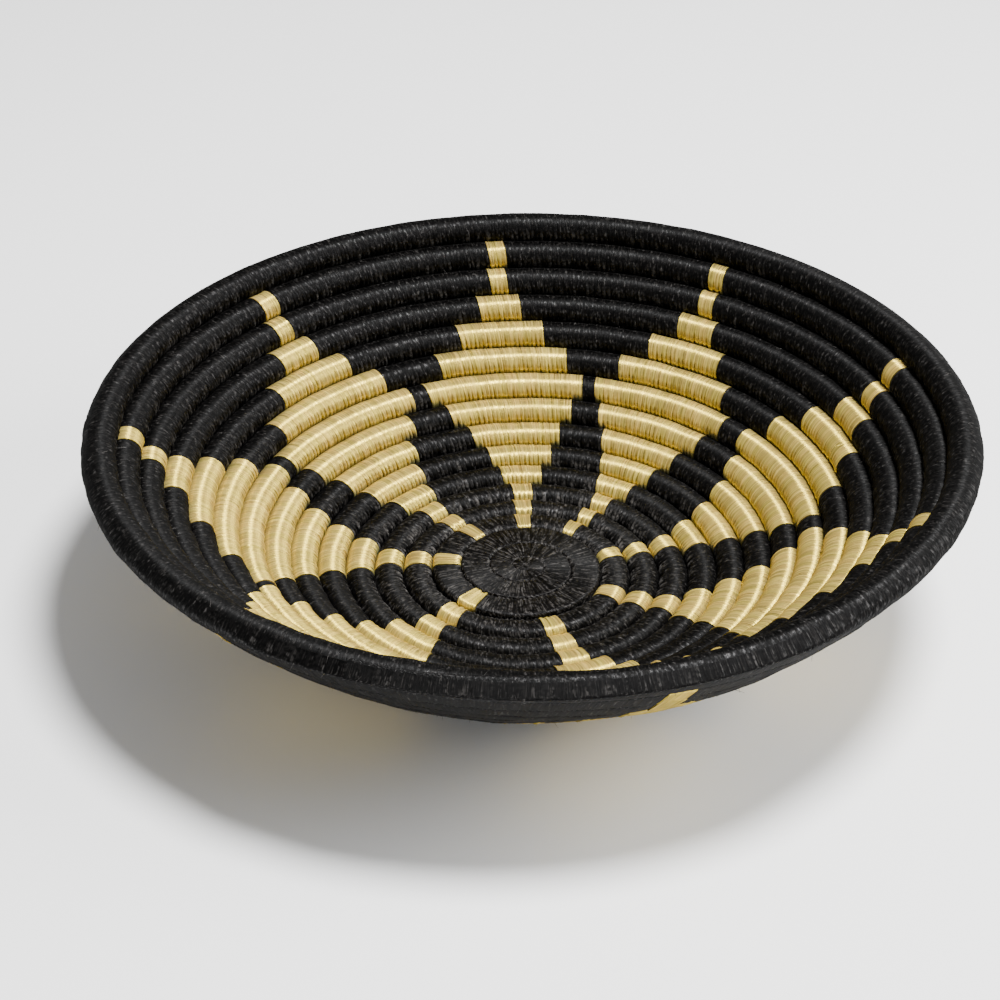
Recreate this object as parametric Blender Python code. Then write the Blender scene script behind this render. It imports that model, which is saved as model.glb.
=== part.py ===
"""A coiled bowl basket: one long grass core, wrapped turn by turn in black and natural sisal.

The maker starts at the centre of the base and winds outwards. Each turn of the grass core is
wrapped with sisal and stitched into the turn before it, so the basket is one spiral that lies flat
in the base, bends up into the wall and thins away into a tail on the rim. Here the core is one
solid, and the wrap of each turn is a sleeve of its own. Units are metres, +Z is up, and the base
rests on z = 0.
"""

import math

import bmesh
import bpy
import numpy as np
from mathutils import Matrix, Vector

MM = 0.001
GAP = 0.3 * MM                      # clearance that touching pieces keep

# The spiral. A turn count of 0 is the start at the centre, and it grows towards the rim.
START_RADIUS = 2.0 * MM
CENTRE_TURN = -0.75                 # the coil begins here, curled up round the bowl's axis
AXIS_CLEARANCE = 0.15 * MM          # the curl keeps this far from the axis
START_TURNS = 0.70                  # the part turn before the first full one
BASE_TURNS = 2
PATTERN_ROWS = 13
RIM_TURNS = 1
TOTAL_TURNS = START_TURNS + BASE_TURNS + PATTERN_ROWS + RIM_TURNS
SEAM_AZIMUTH = math.radians(250)    # where one turn ends and the next begins, and the tail ends

# Distance from one turn to the next, measured along the bowl's section
PITCH_AT_START = 3.2 * MM
PITCH_IN_BASE = 10.1 * MM
PITCH_AT_RIM = 10.9 * MM
EVEN_FROM_TURN = 1.25               # the tight first turns widen until here

# Slope of the bowl's section, in degrees, at turn counts from the base to the rim
SLOPES = ((0.0, 0.0), (4.3, 0.0), (6.7, 16.0), (9.2, 34.0), (11.7, 41.0), (14.2, 46.0), (16.7, 54.0))

# The upper wall hangs a little lower at one side
DIP_DEPTH = 2.0 * MM
DIP_AZIMUTH = math.radians(298)
DIP_SPREAD = math.radians(24)
DIP_TURNS = (10.5, 14.0)            # no dip below the first, the full dip from the second on

# The section of one wrapped turn. The base is pressed flatter than the wall: at a turn count, the
# half width of the flat crest and the half height of the side, as shares of the full halves.
TURN_THICKNESS = 10.6 * MM
SHAPES = ((0.0, 0.60, 0.80), (2.7, 0.56, 0.70), (6.0, 0.45, 0.52))
HOLE_SHARE = 0.70                   # radius of the hole for the grass, as a share of the section
CORE_FROM_TURN = 0.05               # the grass starts here, outside the tight curl
TAIL_TURNS = 0.20                   # length of the thinning tail, in turns
TAIL_TIP_SHARE = 0.14               # size of the section where the tail ends
TAIL_CORE_SHARE = 0.38              # the grass ends where the tail is thinner than this

# Facets round one turn: coarse for the tight turns at the centre
FINE_STEPS = 22
COARSE_STEPS = 11
FINE_FROM_TURN = 2                  # base turn from which turns have the fine steps

# The star: eight rays of natural sisal, spaced by eye, each a stretch of every pattern row. For each
# ray: azimuth in degrees, width against the usual one, lean in degrees at half height and at the base
RAYS = (
    (17.6, 0.93, -0.7, -2.2),
    (57.5, 0.87, -0.7, -2.5),
    (95.0, 0.95, -3.4, -4.3),
    (136.4, 1.00, -0.9, -4.2),
    (181.0, 1.12, -4.0, -8.0),
    (228.0, 1.18, 1.0, 0.5),
    (288.0, 1.15, 0.7, -2.0),
    (335.3, 1.09, 1.4, -1.5),
)
LEAN_ROWS = (1, 5, 8)               # the base, half height, and the row from which rays run straight
STITCH_PITCH = 1.8 * MM
NATURAL_STITCHES = (3, 3.6, 4.3, 9, 14, 20, 28, 36, 29.5, 19.5, 9.5, 4, 4)    # from the base outwards

CUT_MERGE = 0.01 * MM               # corners this close to a colour change move onto it
SHARP_ANGLE = math.radians(30)      # facets that meet at more than this show an edge

BLACK = (0.014, 0.014, 0.017, 1.0)
BLACK_ROUGHNESS = 0.55
NATURAL = (0.62, 0.47, 0.22, 1.0)
NATURAL_ROUGHNESS = 0.50
GRASS = (0.33, 0.25, 0.11, 1.0)
GRASS_ROUGHNESS = 0.80


def clear_scene():
    for item in list(bpy.data.objects):
        bpy.data.objects.remove(item, do_unlink=True)


def make_material(name, colour, roughness):
    material = bpy.data.materials.new(name)
    material.use_nodes = True
    shader = material.node_tree.nodes["Principled BSDF"]
    shader.inputs["Base Color"].default_value = colour
    shader.inputs["Roughness"].default_value = roughness
    shader.inputs["Metallic"].default_value = 0.0
    return material


class BowlSection:
    """The bowl's section as a curve: radius and height for a turn count."""

    STEP = 0.01

    def __init__(self):
        self.turns = np.arange(CENTRE_TURN - 0.5, TOTAL_TURNS + 1.0, self.STEP)
        pitches = self.pitch(self.turns)
        slopes = np.radians(np.interp(self.turns, *zip(*SLOPES)))
        self.radii = self.integrate(pitches * np.cos(slopes)) + START_RADIUS
        self.heights = self.integrate(pitches * np.sin(slopes)) + TURN_THICKNESS / 2

    def pitch(self, turns):
        marks = (0.0, EVEN_FROM_TURN, TOTAL_TURNS)
        return np.interp(turns, marks, (PITCH_AT_START, PITCH_IN_BASE, PITCH_AT_RIM))

    def integrate(self, rates):
        """Running integral over the turn count, zero at turn 0."""
        sums = np.concatenate(([0.0], np.cumsum((rates[1:] + rates[:-1]) / 2 * self.STEP)))
        return sums - np.interp(0.0, self.turns, sums)

    def radius(self, turn):
        return max(float(np.interp(turn, self.turns, self.radii)), AXIS_CLEARANCE)

    def point(self, turn, azimuth):
        height = float(np.interp(turn, self.turns, self.heights))
        return Vector((self.radius(turn), height - rim_dip(turn, azimuth)))

    def normal(self, turn):
        """Direction square to the section, towards the inside of the bowl."""
        slope = math.radians(np.interp(turn, *zip(*SLOPES)))
        return Vector((-math.sin(slope), math.cos(slope)))


def azimuth_at(turn):
    """Azimuth of the coil at a turn count. It winds clockwise, seen from above."""
    return SEAM_AZIMUTH - math.tau * (turn - START_TURNS)


def smooth_step(value):
    """0 up to 0, 1 from 1 on, and a smooth rise between."""
    value = min(max(value, 0.0), 1.0)
    return value * value * (3 - 2 * value)


def rim_dip(turn, azimuth):
    """How far the wall hangs below its even height."""
    away = angle_between(azimuth, DIP_AZIMUTH) / DIP_SPREAD
    share = smooth_step((turn - DIP_TURNS[0]) / (DIP_TURNS[1] - DIP_TURNS[0]))
    return DIP_DEPTH * share * math.exp(-away * away)


def tail_size(turn):
    """Share of the full section that is left at a turn count: 1, and less along the tail."""
    return max(smooth_step((TOTAL_TURNS - turn) / TAIL_TURNS), TAIL_TIP_SHARE)


class Station:
    """The place and size of the wrapped turn's cross-section at one turn count.

    Two turns meet along a line square to the bowl's section, and both take its direction there, so
    the gap between them is even although the wall bends.
    """

    def __init__(self, section, turn):
        size = tail_size(turn)
        self.turn = turn
        self.azimuth = azimuth_at(turn)
        self.inner = section.point(turn - 0.5, self.azimuth)
        self.outer = self.inner.lerp(section.point(turn + 0.5, self.azimuth), size)
        self.inner_normal = section.normal(turn - 0.5)
        self.outer_normal = section.normal(turn - 0.5 + size)
        self.centre = (self.inner + self.outer) / 2
        self.along = (self.outer - self.inner).normalized()
        self.normal = Vector((-self.along.y, self.along.x))
        self.half_width = (self.outer - self.inner).length / 2 - GAP / 2
        self.half_height = TURN_THICKNESS / 2 * size
        marks, crests, cheeks = zip(*SHAPES)
        self.crest = self.half_width * float(np.interp(turn, marks, crests))
        self.cheek = self.half_height * float(np.interp(turn, marks, cheeks))

    def in_space(self, flat):
        """The point in space of a (radius, height) point of this cross-section."""
        return Vector((flat.x * math.cos(self.azimuth), flat.x * math.sin(self.azimuth), flat.y))

    def wrap_ring(self):
        """The eight corners of the wrap: two cheeks, and a flat crest inside and outside the bowl."""
        outer_side = self.outer - self.along * (GAP / 2)
        inner_side = self.inner + self.along * (GAP / 2)
        top = self.centre + self.normal * self.half_height
        bottom = self.centre - self.normal * self.half_height
        corners = (
            outer_side - self.outer_normal * self.cheek,
            outer_side + self.outer_normal * self.cheek,
            top + self.along * self.crest,
            top - self.along * self.crest,
            inner_side + self.inner_normal * self.cheek,
            inner_side - self.inner_normal * self.cheek,
            bottom - self.along * self.crest,
            bottom + self.along * self.crest,
        )
        return [self.in_space(corner) for corner in corners]

    def hexagon(self, inset):
        """A six-sided ring for the grass, smaller than the hole by the inset."""
        width = self.half_width * HOLE_SHARE - inset
        height = self.half_height * HOLE_SHARE - inset
        corners = []
        for corner in range(6):
            angle = math.tau * corner / 6 + math.pi / 2
            across = self.along * (width * math.cos(angle))
            upward = self.normal * (height * math.sin(angle))
            corners.append(self.in_space(self.centre + across + upward))
        return corners


def steps_per_turn(turn_number):
    """Facets round the turn with this number: 0 is the part turn, and the rim has the highest."""
    return FINE_STEPS if turn_number >= FINE_FROM_TURN else COARSE_STEPS


def turn_counts(turn_number):
    """Turn counts of the stations of one turn, from its inner seam to its outer one."""
    last = START_TURNS + turn_number
    first = last - 1 if turn_number else CENTRE_TURN
    steps = round((last - first) * steps_per_turn(turn_number))
    return [first + (last - first) * step / steps for step in range(steps + 1)]


def seam_gap_in_turns(section, turn):
    """Half the gap between two sleeves' end faces, as a share of a turn."""
    return GAP / 2 / (math.tau * section.radius(turn))


def start_loop(mesh, points):
    loop = [mesh.verts.new(point) for point in points]
    for index, corner in enumerate(loop):
        mesh.edges.new((corner, loop[(index + 1) % len(loop)]))
    return loop


def loop_edges(mesh, loop):
    return [mesh.edges.get((corner, loop[(index + 1) % len(loop)])) for index, corner in enumerate(loop)]


def extrude_loop(mesh, loop, points):
    """Extrude a closed loop of edges and move its new corners onto the points."""
    result = bmesh.ops.extrude_edge_only(mesh, edges=loop_edges(mesh, loop))
    new_corners = {item for item in result["geom"] if isinstance(item, bmesh.types.BMVert)}
    moved = []
    for corner, point in zip(loop, points):
        neighbours = [edge.other_vert(corner) for edge in corner.link_edges]
        twin = next(neighbour for neighbour in neighbours if neighbour in new_corners)
        twin.co = point
        moved.append(twin)
    return moved


def loft(mesh, rings):
    """Skin a row of rings, and give back the first and the last loop."""
    first = start_loop(mesh, rings[0])
    last = first
    for points in rings[1:]:
        last = extrude_loop(mesh, last, points)
    return first, last


def close_end(mesh, *loops):
    """Fill the flat end between a sleeve's loops, or over a single loop."""
    edges = [edge for loop in loops for edge in loop_edges(mesh, loop)]
    bmesh.ops.triangle_fill(mesh, use_beauty=True, edges=edges)


def radius_of_row(section, row, azimuth):
    """Radius of the coil where a pattern row passes an azimuth."""
    before_seam = ((azimuth - SEAM_AZIMUTH) / math.tau) % 1.0
    return section.radius(START_TURNS + BASE_TURNS + row - before_seam)


def natural_stretches(section, row):
    """Azimuth of the middle and half the angle of each natural stretch in a pattern row."""
    stretches = []
    for azimuth, width, half_height_lean, base_lean in RAYS:
        lean = float(np.interp(row, LEAN_ROWS, (base_lean, half_height_lean, 0.0)))
        middle = math.radians(azimuth + lean)
        half_length = NATURAL_STITCHES[row - 1] * width * STITCH_PITCH / 2
        stretches.append((middle, half_length / radius_of_row(section, row, middle)))
    return stretches


def face_azimuth(face):
    centre = face.calc_center_median()
    return math.atan2(centre.y, centre.x)


def angle_between(first, second):
    return abs((first - second + math.pi) % math.tau - math.pi)


def colour_row(mesh, section, row):
    """Cut the sleeve's facets where the colour changes, and give the natural ones the second slot."""
    bmesh.ops.triangulate(mesh, faces=mesh.faces[:])
    reach = math.tau / FINE_STEPS
    stretches = natural_stretches(section, row)
    for middle, half in stretches:
        for azimuth in (middle - half, middle + half):
            near = [face for face in mesh.faces if angle_between(face_azimuth(face), azimuth) < reach]
            edges = {edge for face in near for edge in face.edges}
            corners = {corner for face in near for corner in face.verts}
            bmesh.ops.bisect_plane(
                mesh, geom=near + list(edges) + list(corners), dist=CUT_MERGE,
                plane_co=Vector((0.0, 0.0, 0.0)),
                plane_no=Vector((-math.sin(azimuth), math.cos(azimuth), 0.0)),
            )
    for face in mesh.faces:
        azimuth = face_azimuth(face)
        in_stretch = [angle_between(azimuth, middle) < half for middle, half in stretches]
        face.material_index = int(any(in_stretch))


def add_object(name, mesh, materials):
    bmesh.ops.recalc_face_normals(mesh, faces=mesh.faces[:])
    data = bpy.data.meshes.new(name)
    mesh.to_mesh(data)
    mesh.free()
    for material in materials:
        data.materials.append(material)
    data.shade_smooth()
    data.set_sharp_from_angle(angle=SHARP_ANGLE)
    piece = bpy.data.objects.new(name, data)
    bpy.context.scene.collection.objects.link(piece)
    return piece


def has_core(station):
    """The grass fills the wrap everywhere but in the tight curl and the tail's thin end."""
    return station.turn > CORE_FROM_TURN and tail_size(station.turn) > TAIL_CORE_SHARE


def make_wrap(name, section, turn_number, materials):
    """The sisal wrap of one turn: a sleeve round the grass, closed only at the coil's two ends."""
    counts = turn_counts(turn_number)
    is_start = turn_number == 0
    is_rim = turn_number == BASE_TURNS + PATTERN_ROWS + RIM_TURNS
    if not is_start:
        counts[0] += seam_gap_in_turns(section, counts[0])
    if not is_rim:
        counts[-1] -= seam_gap_in_turns(section, counts[-1])
    stations = [Station(section, count) for count in counts]
    hollow = [station for station in stations if has_core(station)]

    mesh = bmesh.new()
    outer_first, outer_last = loft(mesh, [station.wrap_ring() for station in stations])
    inner_first, inner_last = loft(mesh, [station.hexagon(0.0) for station in hollow])
    if is_start:
        close_end(mesh, outer_first)
        close_end(mesh, inner_first)
    else:
        close_end(mesh, outer_first, inner_first)
    if is_rim:
        close_end(mesh, outer_last)
        close_end(mesh, inner_last)
    else:
        close_end(mesh, outer_last, inner_last)
    pattern_row = turn_number - BASE_TURNS
    if 1 <= pattern_row <= PATTERN_ROWS:
        colour_row(mesh, section, pattern_row)
    return add_object(name, mesh, materials)


def make_core(section, material):
    """The grass: one bundle that runs through every wrap, from the start to the tail."""
    counts = turn_counts(0)
    for turn_number in range(1, BASE_TURNS + PATTERN_ROWS + RIM_TURNS + 1):
        counts += turn_counts(turn_number)[1:]
    stations = [Station(section, count) for count in counts]
    stations = [station for station in stations if has_core(station)]
    start, end = stations[0], stations[-1]
    stations[0] = Station(section, start.turn + GAP / (math.tau * start.centre.x))
    stations[-1] = Station(section, end.turn - GAP / (math.tau * end.centre.x))

    mesh = bmesh.new()
    first, last = loft(mesh, [station.hexagon(GAP / math.cos(math.pi / 6)) for station in stations])
    close_end(mesh, first)
    close_end(mesh, last)
    return add_object("grass_core", mesh, [material])


def centre_on_origin(pieces):
    """Move the basket so that the middle of its box is over the origin and its base is at z = 0.

    The spiral reaches further out on one side, so the bowl's axis is a little off that middle.
    """
    corners = np.array([vertex.co for piece in pieces for vertex in piece.data.vertices])
    low, high = corners.min(axis=0), corners.max(axis=0)
    move = Vector((-(low[0] + high[0]) / 2, -(low[1] + high[1]) / 2, -low[2]))
    for piece in pieces:
        piece.data.transform(Matrix.Translation(move))
    print(f"The bowl's axis is at x {move.x / MM:.2f} mm, y {move.y / MM:.2f} mm")


def main():
    clear_scene()
    section = BowlSection()
    black = make_material("black_sisal", BLACK, BLACK_ROUGHNESS)
    natural = make_material("natural_sisal", NATURAL, NATURAL_ROUGHNESS)
    grass = make_material("grass", GRASS, GRASS_ROUGHNESS)

    pieces = [make_core(section, grass), make_wrap("start_turn", section, 0, [black])]
    for base_turn in range(1, BASE_TURNS + 1):
        pieces.append(make_wrap(f"base_turn_{base_turn}", section, base_turn, [black]))
    for row in range(1, PATTERN_ROWS + 1):
        name = f"pattern_row_{row:02d}"
        pieces.append(make_wrap(name, section, BASE_TURNS + row, [black, natural]))
    pieces.append(make_wrap("rim_turn", section, BASE_TURNS + PATTERN_ROWS + RIM_TURNS, [black]))
    centre_on_origin(pieces)


main()
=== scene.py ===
# %% [markdown]
# # A coiled sisal basket
# The real bowl is one long bundle of grass, wound in a spiral from the centre of the base out to the
# rim and wrapped all along with fine sisal fibre, black or undyed. Each wrap that closes a round also
# bites into the turn below it, and that holds the bowl together. This lesson follows the maker's
# order: the spiral first, then the stitches along it, then the sleeves of fibre, then the finishes
# and the light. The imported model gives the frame, so every piece is already at its real size.

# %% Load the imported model
import math

import bmesh
import bpy
import numpy as np
from mathutils import Matrix, Quaternion, Vector


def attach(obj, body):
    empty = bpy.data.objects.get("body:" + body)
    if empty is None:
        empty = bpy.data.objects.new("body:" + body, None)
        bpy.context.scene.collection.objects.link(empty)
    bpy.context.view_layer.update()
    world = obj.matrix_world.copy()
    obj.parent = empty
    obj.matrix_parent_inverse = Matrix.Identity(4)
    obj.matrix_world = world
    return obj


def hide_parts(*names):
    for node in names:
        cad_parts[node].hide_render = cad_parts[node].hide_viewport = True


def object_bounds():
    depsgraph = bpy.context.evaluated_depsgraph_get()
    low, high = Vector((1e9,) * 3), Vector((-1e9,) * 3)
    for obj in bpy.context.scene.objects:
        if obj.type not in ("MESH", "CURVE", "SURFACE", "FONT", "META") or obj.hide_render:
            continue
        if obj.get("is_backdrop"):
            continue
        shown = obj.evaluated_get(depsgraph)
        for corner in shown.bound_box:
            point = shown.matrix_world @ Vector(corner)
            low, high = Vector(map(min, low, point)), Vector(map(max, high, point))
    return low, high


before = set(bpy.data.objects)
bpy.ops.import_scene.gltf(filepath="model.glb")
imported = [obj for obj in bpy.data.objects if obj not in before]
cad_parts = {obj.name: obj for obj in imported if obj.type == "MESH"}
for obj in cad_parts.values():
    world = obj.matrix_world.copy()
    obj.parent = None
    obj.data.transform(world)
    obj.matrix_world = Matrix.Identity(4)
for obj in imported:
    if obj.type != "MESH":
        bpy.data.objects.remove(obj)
cad_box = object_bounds()
print("CAD nodes:", len(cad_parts))

# %% [markdown]
# ## The spiral
# A coiled basket is drawn as a curve in its section, from the centre to the rim, on which every turn
# of the coil takes one pitch. A turn count says where along the coil a point is: 0 near the centre,
# 16.7 at the end of the tail, and a little below 0 for the tight curl that fills the centre. Radius
# and height are running sums of the pitch, split by the slope of the wall, so the wall bends smoothly.
# The pitch widens quickly over the first turn, and then only from 10.1 to 10.9 millimetres.

# %% The bowl's section
MM = 0.001
START_RADIUS = 2.0 * MM
CENTRE_TURN = -0.75
AXIS_CLEARANCE = 0.15 * MM
START_TURNS = 0.70
BASE_TURNS = 2
PATTERN_ROWS = 13
TOTAL_TURNS = START_TURNS + BASE_TURNS + PATTERN_ROWS + 1
SEAM_AZIMUTH = math.radians(250)
PITCH_MARKS = (0.0, 1.25, TOTAL_TURNS)
PITCHES = (3.2 * MM, 10.1 * MM, 10.9 * MM)
SLOPE_MARKS = (0.0, 4.3, 6.7, 9.2, 11.7, 14.2, 16.7)
SLOPES = (0.0, 0.0, 16.0, 34.0, 41.0, 46.0, 54.0)
TURN_THICKNESS = 10.6 * MM
BOWL_AXIS = Vector((-1.68 * MM, -1.71 * MM, 0.0))

TURN_STEP = 0.01
TURNS = np.arange(CENTRE_TURN - 0.5, TOTAL_TURNS + 1.0, TURN_STEP)


def running_sum(rates):
    """Integral over the turn count that is zero at turn 0."""
    sums = np.concatenate(([0.0], np.cumsum((rates[1:] + rates[:-1]) / 2 * TURN_STEP)))
    return sums - np.interp(0.0, TURNS, sums)


pitch_curve = np.interp(TURNS, PITCH_MARKS, PITCHES)
slope_curve = np.radians(np.interp(TURNS, SLOPE_MARKS, SLOPES))
radius_curve = START_RADIUS + running_sum(pitch_curve * np.cos(slope_curve))
radius_curve = np.maximum(radius_curve, AXIS_CLEARANCE)
height_curve = TURN_THICKNESS / 2 + running_sum(pitch_curve * np.sin(slope_curve))
length_curve = running_sum(math.tau * radius_curve)
coil_length = np.interp(TOTAL_TURNS, TURNS, length_curve)
print(f"The coil is {coil_length:.2f} m long")

# %% [markdown]
# The last stretch of the rim thins away into a tail. There the coil keeps lying on the turn below it.
# Its width shrinks, and so does its thickness on the inside, while the outside keeps its full
# thickness, which leaves a step of about a millimetre at the tip. No bowl made by hand has a level rim
# either: this one dips by two millimetres at the near right.

# %% Where the coil runs
TAIL_TURNS = 0.20
TAIL_TIP_SHARE = 0.04
TAIL_HEIGHT_POWER = 0.45
DIP_DEPTH = 2.0 * MM
DIP_AZIMUTH = math.radians(298)
DIP_SPREAD = math.radians(24)
DIP_TURNS = (10.5, 14.0)


def smooth_step(values):
    """0 up to 0, 1 from 1 on, and a smooth rise between."""
    values = np.clip(values, 0.0, 1.0)
    return values * values * (3 - 2 * values)


def tail_size(turns):
    """Share of the full section that is left at each turn count."""
    return np.maximum(smooth_step((TOTAL_TURNS - turns) / TAIL_TURNS), TAIL_TIP_SHARE)


def azimuth_at(turns):
    """Azimuth of the coil, in radians. It winds clockwise, seen from above."""
    return SEAM_AZIMUTH - math.tau * (turns - START_TURNS)


def rim_dip(turns, azimuths):
    """How far the wall hangs below its even height."""
    away = (azimuths - DIP_AZIMUTH + math.pi) % math.tau - math.pi
    share = smooth_step((turns - DIP_TURNS[0]) / (DIP_TURNS[1] - DIP_TURNS[0]))
    return DIP_DEPTH * share * np.exp(-(away / DIP_SPREAD) ** 2)


def section_points(turns, azimuths):
    """Radius and height of the bowl's section at each turn count, as the last axis."""
    radii = np.interp(turns, TURNS, radius_curve)
    heights = np.interp(turns, TURNS, height_curve) - rim_dip(turns, azimuths)
    return np.stack((radii, heights), axis=-1)


def coil_frame(turns):
    """Centre, direction towards the rim, half width and half height of the coil's own section."""
    size = tail_size(turns)
    azimuths = azimuth_at(turns)
    inner = section_points(turns - 0.5, azimuths)
    outer = inner + (section_points(turns + 0.5, azimuths) - inner) * size[..., None]
    span = outer - inner
    width = np.linalg.norm(span, axis=-1)
    half_height = TURN_THICKNESS / 2 * size ** TAIL_HEIGHT_POWER
    return (inner + outer) / 2, span / width[..., None], width / 2, half_height


rim_radius = float(np.interp(TOTAL_TURNS - 0.5, TURNS, radius_curve))
print("Radius at the rim:", round(rim_radius / MM, 1), "mm")

# %% [markdown]
# ## The stitches
# A wrapped coil isn't smooth. A little under every two millimetres a strand dips into the turn below,
# and between two such dips lies another strand side by side with it. The maker never keeps the spacing
# quite even, so each stitch here gets its own width from a seeded random source, which gives the same
# basket on each run.

# %% Lay out the stitches
STITCH_PITCH = 1.8 * MM
STITCH_UNEVENNESS = 0.22
random = np.random.default_rng(31)


def lay_stitches(first_turn, last_turn):
    """Turn counts of the borders between stitches, from the first turn count to the last."""
    start, end = np.interp((first_turn, last_turn), TURNS, length_curve)
    count = max(int(round((end - start) / STITCH_PITCH)), 2)
    widths = 1 + STITCH_UNEVENNESS * random.uniform(-1, 1, count)
    borders = start + (end - start) * np.concatenate(([0.0], np.cumsum(widths) / widths.sum()))
    return np.interp(borders, length_curve, TURNS)


print("Stitches in the rim:", len(lay_stitches(TOTAL_TURNS - 1, TOTAL_TURNS)) - 1)

# %% [markdown]
# ## The star
# Eight rays of undyed sisal make the star. In each row a ray is a stretch of so many stitches: few at
# the base, most in the eighth row, few again at the rim. A maker spaces the rays by eye, so they are
# not equally wide and lean a little as they near the base. One line per ray keeps those traits where
# they can be read.

# %% The rays of the star
# For each ray: azimuth in degrees, width against the usual one, lean in degrees at half height and
# at the base
RAYS = (
    (17.6, 0.93, -0.7, -2.2),
    (57.5, 0.87, -0.7, -2.5),
    (95.0, 0.95, -3.4, -4.3),
    (136.4, 1.00, -0.9, -4.2),
    (181.0, 1.12, -4.0, -8.0),
    (228.0, 1.18, 1.0, 0.5),
    (288.0, 1.15, 0.7, -2.0),
    (335.3, 1.09, 1.4, -1.5),
)
# Natural stitches in a usual ray, from the base outwards
NATURAL_STITCHES = (3, 3.6, 4.3, 9, 14, 20, 28, 36, 29.5, 19.5, 9.5, 4, 4)
LEAN_ROWS = (1, 5, 8)


def natural_stretches(row):
    """First and last turn count of each natural stretch in a pattern row, in the order of winding."""
    row_start = START_TURNS + BASE_TURNS + row - 1
    stretches = []
    for azimuth, width, half_height_lean, base_lean in RAYS:
        lean = np.interp(row, LEAN_ROWS, (base_lean, half_height_lean, 0.0))
        middle = row_start + (SEAM_AZIMUTH - math.radians(azimuth + lean)) % math.tau / math.tau
        radius = np.interp(middle, TURNS, radius_curve)
        half = NATURAL_STITCHES[row - 1] * width * STITCH_PITCH / 2 / (math.tau * radius)
        stretches.append((max(middle - half, row_start), min(middle + half, row_start + 1)))
    return sorted(stretches)


WIDEST_ROW = 8
longest = max(end - start for start, end in natural_stretches(WIDEST_ROW))
print("Longest natural stretch:", round(longest, 3), "turn")

# %% [markdown]
# ## Sleeves of fibre
# A stretch of one colour is a sleeve round the grass. A strip of grid is the quickest way to a long
# sleeve: the grid's columns are stations along the coil, its rows go once round it, and carrying each
# corner to its place rolls the strip up. The long edges then meet and are merged, and the two open
# ends are filled, so that the sleeve is closed.
#
# Known fault: it isn't closed everywhere. The sine of a full turn comes out a hair below zero, and the
# small power of a strongly squared section makes that up to 0.33 millimetres in the middle of the base
# and 0.02 at the near rim. The long edges miss each other there by more than the merge distance, and
# the fill spans the open seam with long stray faces. Setting that last sine to zero should mend it.
#
# The section is a squared circle, since each turn is pulled flat against its neighbours: nearly square
# in the base, and rounder up the wall. At the near rim the outside of the upper turns is squared off
# too, so it stands further out there than the imported solids do. Six stations make up a stitch: one in
# the dip and five over the two strands. On the side towards the centre the stitches reach out like
# short legs onto the turn below, with a notch between them. The notches and the lines between strands
# get painted shade, and the legs of the black turns a painted highlight.

# %% Shape of one stitch
AROUND = 28
SQUARENESS_MARKS = (0.0, 0.7, 2.4, 3.2, 4.2)
SQUARENESS = (26.0, 16.0, 9.0, 2.8, 2.1)
OUTSIDE_MARKS = (14.7, 15.9)
OUTSIDE_SQUARENESS = (4.5, 2.6)
FLUSH_SQUARENESS = 13.0
FLUSH_MIDDLE = math.radians(272)
FLUSH_ANGLE = math.radians(40)
FLUSH_FADE = math.radians(14)
FLUSH_FROM_TURN = 11.0
STITCH_PLACES = np.array((0.0, 0.16, 0.34, 0.50, 0.66, 0.84))
STRAND_SHAPE = np.array((-1.0, 0.50, 1.0, 0.10, 1.0, 0.50))
NOTCH_SHAPE = np.array((1.0, 0.40, 0.0, 0.0, 0.0, 0.40))
LINE_SHAPE = np.array((1.0, 0.15, 0.0, 0.80, 0.0, 0.15))
LINE_SHADE = 0.68
STRAND_HEIGHT = 0.015 * MM
FIBRE_HEIGHT = 0.020 * MM
FRINGE_HEIGHT = 0.08 * MM
NOTCH_DEPTH = 0.40 * MM
NOTCH_USUAL = 0.75
NOTCH_SPREAD = 0.45
NOTCH_DEEPEST = 1.6
NOTCH_AT_ENDS = 0.6
LEG_REACH = 0.45 * MM
LEG_UNEVENNESS = 0.6
UNEVEN_STITCH = 0.055 * MM
UNEVEN_COIL = 0.16 * MM
WAVE_PERIODS = (61 * MM, 37 * MM, 23 * MM, 14 * MM)
WAVE_SHIFT = 1.7
WAVE_TOTAL = 2.2
RELIEF_FADE_POWER = 0.5
END_LIP = 0.28 * MM
LIP_LENGTH = 0.9 * MM
LEAN = -1.8 * MM
LEAN_RADIUS = 5.0 * MM
FULL_HALF_WIDTH = 5.0 * MM
LEG_ANGLE = math.radians(148)
LEG_SPREAD = math.radians(23)
FRINGE_ANGLE = math.radians(38)
FRINGE_SPREAD = math.radians(20)
BASE_TO_WALL_TURNS = (2.7, 7.7)
LEG_GLINT_SHARES = (2.0, 0.5)
LEG_GLINT_RANGE = (-0.6, 1.0)
BRIGHTEST_LEG_GLINT = 0.7
SPECKLE_SHARES = (1.1, 0.10)
SPECKLE_SPREAD = 0.5
SPECKLE_FLOOR = 0.25
MOST_SPECKLE = 0.6
NOTCH_SHARES = (0.25, 1.0)
SHADE_NAME = "shade"
PALE_NAME = "pale"


def both_sides(angles, middle, spread):
    """1 at an angle inside the bowl and at its mirror outside, and 0 away from both."""
    inside = np.exp(-((angles - middle) / spread) ** 2)
    outside = np.exp(-((math.tau - angles - middle) / spread) ** 2)
    return inside + outside


def slow_waves(lengths):
    """A smooth, irregular swell along the coil, between about -1 and 1."""
    waves = [
        np.sin(math.tau * lengths / period + WAVE_SHIFT * index)
        for index, period in enumerate(WAVE_PERIODS)
    ]
    return sum(waves) / WAVE_TOTAL


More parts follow.
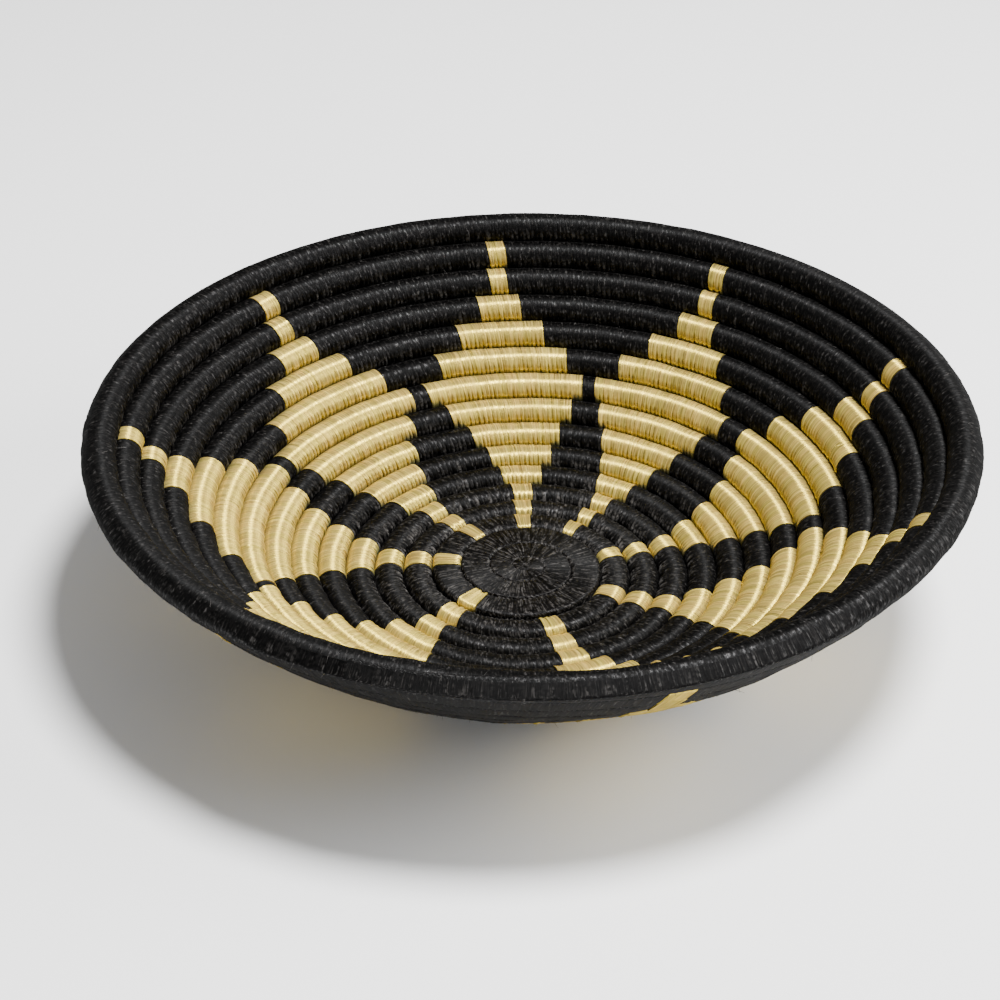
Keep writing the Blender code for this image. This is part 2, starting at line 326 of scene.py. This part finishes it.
def stitch_stations(borders):
    """Turn counts of the stations, and for each its strand shape, notch shape and stitch number."""
    count = len(borders) - 1
    widths = np.diff(borders)
    turns = (borders[:-1, None] + widths[:, None] * STITCH_PLACES[None, :]).ravel()
    turns = np.append(turns, borders[-1])
    strand = np.append(np.tile(STRAND_SHAPE, count), STRAND_SHAPE[0])
    notch = np.append(np.tile(NOTCH_SHAPE, count), NOTCH_SHAPE[0])
    number = np.append(np.repeat(np.arange(count), len(STITCH_PLACES)), count - 1)
    return turns, strand, notch, number


def uneven_notches(notch, number):
    """Notches of uneven depth. The two at the ends are usual ones, so that runs meet in one."""
    depths = random.normal(NOTCH_USUAL, NOTCH_SPREAD, number[-1] + 2)
    depths = np.clip(depths, 0.0, NOTCH_DEEPEST)
    depths[0] = depths[-1] = NOTCH_AT_ENDS
    place = np.arange(len(number)) % len(STITCH_PLACES)
    nearest = number + (place > len(STITCH_PLACES) // 2)
    nearest[-1] = number[-1] + 1
    return notch * depths[nearest]


def surface_relief(turns, strand, notch, number, lengths, angles, lips):
    """How far each corner of a sleeve stands out, its painted shade, and its paleness: painted leg
    highlights and speckle.
    """
    count = number[-1] + 1
    legs = both_sides(angles, LEG_ANGLE, LEG_SPREAD)[None, :]
    fringe = both_sides(angles, FRINGE_ANGLE, FRINGE_SPREAD)[None, :]
    own = (1 - notch) * random.uniform(-1, 1, count)[number]
    fibre = random.normal(0.0, 1.0, len(turns))
    tufts = random.normal(0.0, 1.0, len(turns))
    fibre[[0, -1]] = 0.0
    tufts[[0, -1]] = 0.0
    lip = lips[0] * np.exp(-((lengths - lengths[0]) / LIP_LENGTH) ** 2)
    lip = lip + lips[1] * np.exp(-((lengths[-1] - lengths) / LIP_LENGTH) ** 2)
    ridges = STRAND_HEIGHT * strand + FIBRE_HEIGHT * fibre + UNEVEN_STITCH * own
    ridges = ridges + UNEVEN_COIL * slow_waves(lengths) + lip
    reach = LEG_REACH * (1 - notch) * (1 + LEG_UNEVENNESS * random.uniform(-1, 1, count))[number]
    depth = NOTCH_DEPTH * uneven_notches(notch, number) * np.interp(turns, BASE_TO_WALL_TURNS, NOTCH_SHARES)
    relief = ridges[:, None] + fringe * FRINGE_HEIGHT * tufts[:, None] + legs * (reach - depth)[:, None]
    relief = relief * np.abs(np.sin(angles)) ** RELIEF_FADE_POWER
    # Painted shade: darker in the notches between the legs and along the lines between strands.
    lines = np.append(np.tile(LINE_SHAPE, count), LINE_SHAPE[0])
    lines = lines * random.uniform(0.0, LINE_SHADE, len(turns))
    shade = np.clip(legs * depth[:, None] / NOTCH_DEPTH + lines[:, None], 0.0, 1.0)
    # Painted highlight on the legs, strongest in the base. Pale speckle is added to it.
    leg_glint = np.interp(turns, BASE_TO_WALL_TURNS, LEG_GLINT_SHARES) * (1 - notch)
    leg_glint = leg_glint * random.uniform(*LEG_GLINT_RANGE, count)[number]
    speckle = random.normal(0.0, SPECKLE_SPREAD, relief.shape)
    speckle = speckle * np.interp(turns, BASE_TO_WALL_TURNS, SPECKLE_SHARES)[:, None]
    glint_and_speckle = np.clip(legs * leg_glint[:, None], 0.0, BRIGHTEST_LEG_GLINT)
    glint_and_speckle = glint_and_speckle + np.clip(speckle - SPECKLE_FLOOR, 0.0, MOST_SPECKLE)
    return relief, shade, glint_and_speckle


def flush_outside(turns):
    """1 beside the tail, where the wrap is pulled smooth over the outside, and 0 well away from it."""
    away = np.abs((azimuth_at(turns) - FLUSH_MIDDLE + math.pi) % math.tau - math.pi)
    return smooth_step((FLUSH_ANGLE - away) / FLUSH_FADE) * smooth_step(turns - FLUSH_FROM_TURN)


def squared_circle(turns, angles):
    """Cosine and sine of a squared circle, squarest in the base and on the flush outside."""
    cosine, sine = np.cos(angles)[None, :], np.sin(angles)[None, :]
    squareness = np.interp(turns, SQUARENESS_MARKS, SQUARENESS)[:, None]
    outside = np.interp(turns, OUTSIDE_MARKS, OUTSIDE_SQUARENESS)
    outside = (outside + (FLUSH_SQUARENESS - outside) * flush_outside(turns))[:, None]
    power = 2 / np.where(sine < 0, np.maximum(squareness, outside), squareness)
    return np.sign(cosine) * np.abs(cosine) ** power, np.sign(sine) * np.abs(sine) ** power


def coil_surface(turns, angles, relief):
    """Places on the coil's surface: a row of turn counts, by angles round the section.

    The base is pressed flat on the surface that it stands on, so no place is below it.
    """
    radii = np.maximum(np.interp(turns, TURNS, radius_curve), LEAN_RADIUS)
    leaning = turns[:, None] + LEAN / 2 * np.cos(angles)[None, :] / (math.tau * radii[:, None])
    centre, along, half_width, half_height = coil_frame(leaning)
    upward = np.stack((-along[..., 1], along[..., 0]), axis=-1)
    size = tail_size(turns)[:, None] * np.minimum(half_width / FULL_HALF_WIDTH, 1.0)
    cosine, sine = squared_circle(turns, angles)
    across = cosine * half_width + relief * size * np.cos(angles)[None, :]
    half_height = np.where(sine < 0, TURN_THICKNESS / 2, half_height)
    above = sine * half_height + relief * size * np.sin(angles)[None, :]
    flat = centre + along * across[..., None] + upward * above[..., None]
    azimuths = azimuth_at(leaning)
    radius = flat[..., 0]
    height = np.maximum(flat[..., 1], 0.0)
    places = np.stack((radius * np.cos(azimuths), radius * np.sin(azimuths), height), axis=-1)
    return places + np.array(BOWL_AXIS)


# %% Roll a strip of grid into a sleeve
UV_NAME = "Coil"
MERGE_DISTANCE = 0.0005 * MM
ANGLES = np.linspace(0.0, math.tau, AROUND + 1)


def add_layers(mesh):
    """The UV map in metres along and around the coil, and two numbers for the finish: painted shade, and
    paleness for painted glints, paler ends and speckle.
    """
    uv_layer = mesh.loops.layers.uv.verify()
    shade_layer = mesh.verts.layers.float.new(SHADE_NAME)
    pale_layer = mesh.verts.layers.float.new(PALE_NAME)
    return uv_layer, shade_layer, pale_layer


def make_sleeve(borders, lips):
    """One sleeve of fibre, as a bmesh. It is closed, apart from the open seams named above."""
    turns, strand, notch, number = stitch_stations(borders)
    lengths = np.interp(turns, TURNS, length_curve)
    relief, shade, glint_and_speckle = surface_relief(turns, strand, notch, number, lengths, ANGLES, lips)
    places = coil_surface(turns, ANGLES, relief)
    arcs = ANGLES * TURN_THICKNESS / 2

    mesh = bmesh.new()
    uv_layer, shade_layer, pale_layer = add_layers(mesh)
    strip = bmesh.ops.create_grid(mesh, x_segments=len(turns) - 1, y_segments=AROUND, size=1.0)
    corners = strip["verts"]
    columns = [round((corner.co.x + 1) / 2 * (len(turns) - 1)) for corner in corners]
    rows = [round((corner.co.y + 1) / 2 * AROUND) for corner in corners]
    for corner, column, row in zip(corners, columns, rows):
        for loop in corner.link_loops:
            loop[uv_layer].uv = (lengths[column], arcs[row])
        corner[shade_layer] = shade[column, row]
        corner[pale_layer] = glint_and_speckle[column, row]
        corner.co = places[column, row]
    for face in mesh.faces:
        face.smooth = True
    bmesh.ops.remove_doubles(mesh, verts=mesh.verts[:], dist=MERGE_DISTANCE)
    ends = [edge for edge in mesh.edges if edge.is_boundary]
    for edge in ends:
        edge.smooth = False
    bmesh.ops.holes_fill(mesh, edges=ends, sides=0)
    bmesh.ops.recalc_face_normals(mesh, faces=mesh.faces[:])
    return mesh


# %% [markdown]
# Sisal is combed leaf, and here and there the end of a fibre works loose. Those ends are what catches
# the light on the black turns, and they are painted paler: partly their own paler fibre, partly a
# painted glint. Each is a thin cone whose thick end is sunk in the sleeve; it lies almost flat along
# its strand. About one in eighty is a stray that stands up.

# %% Loose fibre ends
FIBRE_ENDS_PER_METRE = 200
CENTRE_ENDS_PER_METRE = 1400
CENTRE_TURNS = (0.6, 3.2)
SIDEWAYS = 0.35
CENTRE_SIDEWAYS = 1.5
FIBRE_END_THICKNESS = 0.08 * MM
FIBRE_TIP_THICKNESS = FIBRE_END_THICKNESS / 4
FIBRE_END_LENGTHS = (1.0 * MM, 3.0 * MM)
FIBRE_END_RISE = 0.14
FIBRE_MIDDLE = 0.45
ANGLE_STEP = 0.1
STRAY_SHARE = 0.012
STRAY_RISE = 0.9
STRAY_LENGTHENING = 1.9


def make_fibre_ends(borders):
    """Loose fibre ends along one run, as a bmesh. They lie closest at the centre of the base."""
    start, end = np.interp(borders[[0, -1]], TURNS, length_curve)
    per_metre = np.interp(borders.mean(), CENTRE_TURNS, (CENTRE_ENDS_PER_METRE, FIBRE_ENDS_PER_METRE))
    sideways = np.interp(borders.mean(), CENTRE_TURNS, (CENTRE_SIDEWAYS, SIDEWAYS))
    count = int(round((end - start) * per_metre))
    lengths = np.sort(random.uniform(start, end, count))
    turns = np.interp(lengths, length_curve, TURNS)
    angles = random.uniform(0.0, math.tau, count)
    mesh = bmesh.new()
    uv_layer, shade_layer, pale_layer = add_layers(mesh)
    for turn, angle, length in zip(turns, angles, lengths):
        near = np.array((angle, angle + ANGLE_STEP))
        root, ahead = (Vector(place) for place in coil_surface(np.array((turn,)), near, 0.0)[0])
        radius, height = coil_frame(np.array((turn,)))[0][0]
        azimuth = float(azimuth_at(turn))
        middle = Vector((radius * math.cos(azimuth), radius * math.sin(azimuth), height)) + BOWL_AXIS
        outward = (root - middle).normalized()
        strand_way = (ahead - root).normalized() * random.choice((-1, 1))
        coil_way = Vector((math.sin(azimuth), -math.cos(azimuth), 0.0)) * random.normal(0.0, sideways)
        is_stray = random.uniform() < STRAY_SHARE
        rise = STRAY_RISE if is_stray else FIBRE_END_RISE
        direction = (strand_way + coil_way + outward * rise).normalized()
        reach = random.uniform(*FIBRE_END_LENGTHS) * (STRAY_LENGTHENING if is_stray else 1.0)
        if (root + direction * reach).z < 0:
            continue
        turned = direction.to_track_quat("Z", "Y").to_matrix().to_4x4()
        place = Matrix.Translation(root + direction * reach * FIBRE_MIDDLE) @ turned
        cone = bmesh.ops.create_cone(
            mesh, cap_ends=True, segments=3, radius1=FIBRE_END_THICKNESS,
            radius2=FIBRE_TIP_THICKNESS, depth=reach, matrix=place)
        # The loose ends are painted paler: partly their own paler fibre, partly a painted glint.
        for corner in cone["verts"]:
            corner[pale_layer] = 1.0
            for loop in corner.link_loops:
                loop[uv_layer].uv = (length, angle * TURN_THICKNESS / 2)
    return mesh


def make_piece(name, runs, material, node):
    """One object from all the sleeves of one colour in one turn of the coil."""
    whole = bmesh.new()
    for borders, lips in runs:
        for part in (make_sleeve(borders, lips), make_fibre_ends(borders)):
            single = bpy.data.meshes.new("part")
            part.to_mesh(single)
            part.free()
            whole.from_mesh(single)
            bpy.data.meshes.remove(single)
    data = bpy.data.meshes.new(name)
    whole.to_mesh(data)
    whole.free()
    data.uv_layers[0].name = UV_NAME
    data.materials.append(material)
    piece = bpy.data.objects.new(name, data)
    bpy.context.scene.collection.objects.link(piece)
    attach(piece, "root")
    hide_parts(node)
    return piece


# %% [markdown]
# ## Finishes
# Sisal is a leaf fibre: pale straw, satin, with fine streaks that run along each strand, so across
# the coil. The black is the same fibre dyed, and it keeps a dull grey sheen. Its paler flecks are partly
# paler fibres and partly painted glints. The natural gets painted shade near the grooves between turns
# and in the notches. Both finishes read the sleeve's own map, in metres along and around the coil, and
# stretch a noise pattern along the strands. The darker patches of the black, and the grass, use noise
# without a direction, in the object's own coordinates.

# %% Node helpers


class Finish:
    """A material with short calls to add and link its nodes."""

    def __init__(self, name):
        self.material = bpy.data.materials.new(name)
        self.material.use_nodes = True
        self.nodes = self.material.node_tree.nodes
        self.links = self.material.node_tree.links
        self.shader = self.nodes["Principled BSDF"]

    def add(self, kind, **settings):
        node = self.nodes.new(kind)
        for key, value in settings.items():
            setattr(node, key, value)
        return node

    def link(self, output, node, socket):
        self.links.new(output, node.inputs[socket])

    def streaks(self, along, around, detail=3.0):
        """Noise with so many streaks per metre along the coil and around it, as a factor."""
        where = self.add("ShaderNodeUVMap", uv_map=UV_NAME)
        stretch = self.add("ShaderNodeVectorMath", operation="MULTIPLY")
        stretch.inputs[1].default_value = (along, around, 1.0)
        self.link(where.outputs["UV"], stretch, 0)
        noise = self.add("ShaderNodeTexNoise")
        noise.inputs["Scale"].default_value = 1.0
        noise.inputs["Detail"].default_value = detail
        self.link(stretch.outputs[0], noise, "Vector")
        return noise.outputs["Fac"]

    def mottle(self, scale):
        """Noise without a direction, with so many patches per metre, as a factor."""
        where = self.add("ShaderNodeTexCoord")
        noise = self.add("ShaderNodeTexNoise")
        noise.inputs["Scale"].default_value = scale
        self.link(where.outputs["Object"], noise, "Vector")
        return noise.outputs["Fac"]

    def attribute(self, name):
        """A number stored on the mesh's corners."""
        return self.add("ShaderNodeAttribute", attribute_name=name).outputs["Fac"]

    def round_section(self, *stops):
        """Colours by the place round the coil: 0 rim side, 0.25 crest, 0.5 centre side, and mirrored."""
        where = self.add("ShaderNodeUVMap", uv_map=UV_NAME)
        parts = self.add("ShaderNodeSeparateXYZ")
        self.link(where.outputs["UV"], parts, "Vector")
        around = self.add("ShaderNodeMath", operation="DIVIDE")
        self.link(parts.outputs["Y"], around, 0)
        around.inputs[1].default_value = math.pi * TURN_THICKNESS
        mirrored = self.add("ShaderNodeMath", operation="PINGPONG")
        self.link(around.outputs[0], mirrored, 0)
        mirrored.inputs[1].default_value = 0.5
        return self.ramp(mirrored.outputs[0], *stops)

    def ramp(self, factor, *stops):
        """Colours for a factor. Each stop is a place and a colour."""
        ramp = self.add("ShaderNodeValToRGB")
        elements = ramp.color_ramp.elements
        while len(elements) < len(stops):
            elements.new(0.5)
        for element, (place, colour) in zip(elements, stops):
            element.position = place
            element.color = (*colour, 1.0)
        self.link(factor, ramp, "Fac")
        return ramp.outputs["Color"]

    def mix(self, blend, factor, first, second):
        """Mix two colours, with a number or a node's output as the factor."""
        mixer = self.add("ShaderNodeMix", data_type="RGBA", blend_type=blend)
        if isinstance(factor, float):
            mixer.inputs[0].default_value = factor
        else:
            self.links.new(factor, mixer.inputs[0])
        self.links.new(first, mixer.inputs[6])
        self.links.new(second, mixer.inputs[7])
        return mixer.outputs[2]

    def bump(self, height, distance):
        bump = self.add("ShaderNodeBump")
        bump.inputs["Distance"].default_value = distance
        bump.inputs["Strength"].default_value = 1.0
        self.link(height, bump, "Height")
        self.link(bump.outputs["Normal"], self.shader, "Normal")


# %% Natural sisal
def make_natural_sisal():
    finish = Finish("natural_sisal_fibre")
    fine = finish.streaks(2300, 60)
    bands = finish.streaks(300, 25, detail=1.0)
    strands = finish.ramp(
        fine, (0.33, (0.14, 0.104, 0.040)), (0.50, (0.34, 0.245, 0.066)), (0.67, (0.54, 0.40, 0.105)))
    tint = finish.ramp(
        bands, (0.36, (0.80, 0.88, 0.62)), (0.50, (1.0, 1.0, 1.0)), (0.66, (1.0, 0.88, 0.88)))
    tinted = finish.mix("MULTIPLY", 0.6, strands, tint)
    # Painted shade: darker and cooler near the grooves on both sides of each turn, where it meets its
    # neighbours.
    groove_shade = finish.round_section(
        (0.00, (0.50, 0.56, 0.80)), (0.07, (0.80, 0.84, 0.95)), (0.13, (1.0, 1.0, 1.0)),
        (0.34, (1.0, 1.0, 1.0)), (0.43, (0.56, 0.70, 1.0)), (0.50, (0.22, 0.34, 0.80)))
    groove_shaded = finish.mix("MULTIPLY", 1.0, tinted, groove_shade)
    # Painted shade in the notches and along the lines between strands, from the shade numbers.
    notch_shade = finish.ramp(finish.attribute(SHADE_NAME), (0.04, (1.0, 1.0, 1.0)), (0.70, (0.05, 0.07, 0.16)))
    finish.link(finish.mix("MULTIPLY", 1.0, groove_shaded, notch_shade), finish.shader, "Base Color")
    jitter = finish.streaks(1100, 420, detail=2.0)
    gloss = finish.ramp(jitter, (0.36, (0.36,) * 3), (0.62, (0.62,) * 3))
    finish.link(gloss, finish.shader, "Roughness")
    finish.shader.inputs["Anisotropic"].default_value = 1.0
    finish.shader.inputs["IOR"].default_value = 2.5
    finish.shader.inputs["Specular IOR Level"].default_value = 1.0
    finish.shader.inputs["Specular Tint"].default_value = (1.0, 0.76, 0.11, 1.0)
    finish.bump(finish.mix("MIX", 0.45, fine, jitter), 0.21 * MM)
    return finish.material


# %% Black sisal
def make_black_sisal():
    finish = Finish("black_sisal_fibre")
    fine = finish.streaks(1900, 330)
    flecks = finish.streaks(1050, 420, detail=2.0)
    stitches = finish.streaks(260, 12, detail=1.0)
    dyed = finish.ramp(
        fine, (0.35, (0.0006, 0.0005, 0.0005)), (0.55, (0.0018, 0.0016, 0.0015)),
        (0.75, (0.020, 0.0182, 0.0168)))
    # Paler flecks: partly paler fibres, partly painted glints.
    pale = finish.ramp(flecks, (0.58, (0.0, 0.0, 0.0)), (0.80, (0.048, 0.0455, 0.0435)))
    faded = finish.ramp(stitches, (0.56, (0.0, 0.0, 0.0)), (0.74, (0.0045, 0.0042, 0.0040)))
    flecked = finish.mix("ADD", 1.0, finish.mix("ADD", 1.0, dyed, pale), faded)
    # Paleness from the mesh: paler loose ends, painted highlights on the legs, and pale speckle.
    pale_ends_glints_and_speckle = finish.ramp(
        finish.attribute(PALE_NAME), (0.0, (0.0, 0.0, 0.0)), (1.0, (0.075, 0.070, 0.065)))
    strands = finish.mix("ADD", 1.0, flecked, pale_ends_glints_and_speckle)
    patches = finish.ramp(finish.mottle(900.0), (0.40, (0.10,) * 3), (0.58, (1.0,) * 3))
    finish.link(finish.mix("MULTIPLY", 1.0, strands, patches), finish.shader, "Base Color")
    edge = finish.add("ShaderNodeLayerWeight").outputs["Facing"]
    grazing = finish.ramp(edge, (0.50, (0.36,) * 3), (0.75, (1.0,) * 3))
    broken = finish.ramp(flecks, (0.42, (0.40,) * 3), (0.62, (0.0,) * 3))
    finish.link(finish.mix("ADD", 1.0, grazing, broken), finish.shader, "Roughness")
    finish.shader.inputs["Anisotropic"].default_value = 0.85
    finish.shader.inputs["Specular IOR Level"].default_value = 0.11
    finish.bump(fine, 0.20 * MM)
    return finish.material


# %% Dry grass
def make_dry_grass():
    finish = Finish("dry_grass_stems")
    patches = finish.mottle(700.0)
    stems = finish.ramp(patches, (0.3, (0.16, 0.11, 0.04)), (0.7, (0.42, 0.33, 0.15)))
    finish.link(stems, finish.shader, "Base Color")
    finish.shader.inputs["Roughness"].default_value = 0.8
    finish.bump(patches, 0.3 * MM)
    return finish.material


natural_sisal = make_natural_sisal()
black_sisal = make_black_sisal()
dry_grass = make_dry_grass()
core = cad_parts["grass_core"]
core.data.materials.clear()
core.data.materials.append(dry_grass)
print("Finishes:", natural_sisal.name, black_sisal.name, dry_grass.name)

# %% [markdown]
# ## Wind the basket
# Now the coil is wound turn by turn. A pattern row is laid in runs of one colour, each with a whole
# number of stitches, and becomes two pieces, the black runs and the natural ones.


# %% Wind every turn
NO_LIPS = (0.0, 0.0)


def colour_runs(row):
    """A row's runs of one colour, in turns black and natural: (is natural, borders, end lips).

    Where the colour changes, the natural fibre ends in a small lip over the black.
    """
    row_start = START_TURNS + BASE_TURNS + row - 1
    changes = [turn for stretch in natural_stretches(row) for turn in stretch]
    marks = [row_start, *changes, row_start + 1]
    runs = []
    for number, (start, end) in enumerate(zip(marks[:-1], marks[1:])):
        is_natural = number % 2 == 1
        lip = END_LIP if is_natural else -END_LIP / 2
        lips = (lip if start > row_start else 0.0, lip if end < row_start + 1 else 0.0)
        if end > start:
            runs.append((is_natural, lay_stitches(start, end), lips))
    return runs


def wind_plain(name, node, first_turn, last_turn):
    borders = lay_stitches(first_turn, last_turn)
    return make_piece(name, [(borders, NO_LIPS)], black_sisal, node)


def wind_row(row):
    node = f"pattern_row_{row:02d}"
    runs = colour_runs(row)
    black_runs = [(borders, lips) for is_natural, borders, lips in runs if not is_natural]
    natural_runs = [(borders, lips) for is_natural, borders, lips in runs if is_natural]
    return [
        make_piece(f"row_{row:02d}_black", black_runs, black_sisal, node),
        make_piece(f"row_{row:02d}_natural", natural_runs, natural_sisal, node),
    ]


pieces = [wind_plain("centre_swirl", "start_turn", CENTRE_TURN, START_TURNS)]
for base_turn in range(1, BASE_TURNS + 1):
    first_turn = START_TURNS + base_turn - 1
    name, node = f"base_wrap_{base_turn}", f"base_turn_{base_turn}"
    pieces.append(wind_plain(name, node, first_turn, first_turn + 1))
for row in range(1, PATTERN_ROWS + 1):
    pieces += wind_row(row)
pieces.append(wind_plain("rim_wrap", "rim_turn", TOTAL_TURNS - 1, TOTAL_TURNS))
faces = [len(piece.data.polygons) for piece in pieces]
print("Pieces:", len(pieces), "faces:", sum(faces), "largest:", max(faces))

# %% [markdown]
# ## Floor, light and camera
# The bowl stands on a plain pale floor. A soft light high up, a little to the right, gives each turn
# its bright crest. A broad one from the right opens the left wall, and a weak one from the front left
# opens the near wall. The camera looks down into the bowl at about thirty degrees, from three
# quarters of a metre, with a long lens.

# %% Floor
FLOOR_SIZE = 6.0


def make_floor():
    mesh = bmesh.new()
    bmesh.ops.create_grid(mesh, x_segments=1, y_segments=1, size=FLOOR_SIZE / 2)
    data = bpy.data.meshes.new("pale_floor")
    mesh.to_mesh(data)
    mesh.free()
    floor = bpy.data.objects.new("pale_floor", data)
    bpy.context.scene.collection.objects.link(floor)
    paint = Finish("pale_paper")
    paint.shader.inputs["Base Color"].default_value = (0.86, 0.86, 0.86, 1.0)
    paint.shader.inputs["Roughness"].default_value = 0.9
    data.materials.append(paint.material)
    floor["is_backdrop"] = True


make_floor()

# %% Light
ROOM_BRIGHTNESS = 0.38


def add_soft_light(name, place, target, size, power):
    lamp = bpy.data.lights.new(name, "AREA")
    lamp.shape = "DISK"
    lamp.size = size
    lamp.energy = power
    holder = bpy.data.objects.new(name, lamp)
    holder.location = place
    direction = Vector(target) - Vector(place)
    holder.rotation_mode = "QUATERNION"
    holder.rotation_quaternion = direction.to_track_quat("-Z", "Y")
    bpy.context.scene.collection.objects.link(holder)


add_soft_light("overhead", (0.36, -0.10, 1.45), (0.0, 0.0, 0.0), 0.42, 64.0)
add_soft_light("side_fill", (1.6, 0.0, 0.9), (0.0, 0.0, 0.03), 1.2, 44.0)
add_soft_light("front_fill", (-0.3, -1.6, 0.6), (0.0, 0.0, 0.03), 1.0, 5.0)

room = bpy.data.worlds.new("soft_room")
room.use_nodes = True
room.node_tree.nodes["Background"].inputs["Color"].default_value = (1.0, 1.0, 1.0, 1.0)
room.node_tree.nodes["Background"].inputs["Strength"].default_value = ROOM_BRIGHTNESS
bpy.context.scene.world = room

# %% Camera
CAMERA_REACH = 762.2 * MM
CAMERA_TARGET = BOWL_AXIS + Vector((0.0, 0.0, 75.0 * MM))
CAMERA_ELEVATION = math.radians(30.98)
CAMERA_PAN = math.radians(0.61)
CAMERA_TILT = math.radians(-2.34)
CAMERA_ROLL = math.radians(-0.58)
LENS = 82.04


def place_camera():
    """Aim at the middle of the rim, then pan, tilt and roll a little, as a hand-held camera is."""
    ahead = Vector((0.0, math.cos(CAMERA_ELEVATION), -math.sin(CAMERA_ELEVATION)))
    right = Vector((1.0, 0.0, 0.0))
    up = right.cross(ahead)
    aim = Quaternion(up, CAMERA_PAN) @ Quaternion(right, CAMERA_TILT)
    right, up, ahead = aim @ right, aim @ up, aim @ ahead
    roll = Quaternion(ahead, CAMERA_ROLL)
    right, up = roll @ right, roll @ up
    data = bpy.data.cameras.new("camera")
    data.lens = LENS
    data.sensor_width = 36.0
    data.clip_start = 0.01
    camera = bpy.data.objects.new("camera", data)
    back = Vector((0.0, -math.cos(CAMERA_ELEVATION), math.sin(CAMERA_ELEVATION)))
    turned = Matrix((right, up, -ahead)).transposed().to_4x4()
    camera.matrix_world = Matrix.Translation(CAMERA_TARGET + back * CAMERA_REACH) @ turned
    bpy.context.scene.collection.objects.link(camera)
    bpy.context.scene.camera = camera
    return camera


camera = place_camera()
print("Camera at", [round(value, 3) for value in camera.location])

# %% [markdown]
# ## The size
# Both boxes, the imported model's and the finished basket's, are printed side by side.

# %% Sizes
finished_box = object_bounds()
for label, (low, high) in (("CAD", cad_box), ("scene", finished_box)):
    print(label, [round(value / MM, 1) for value in high - low], "mm")
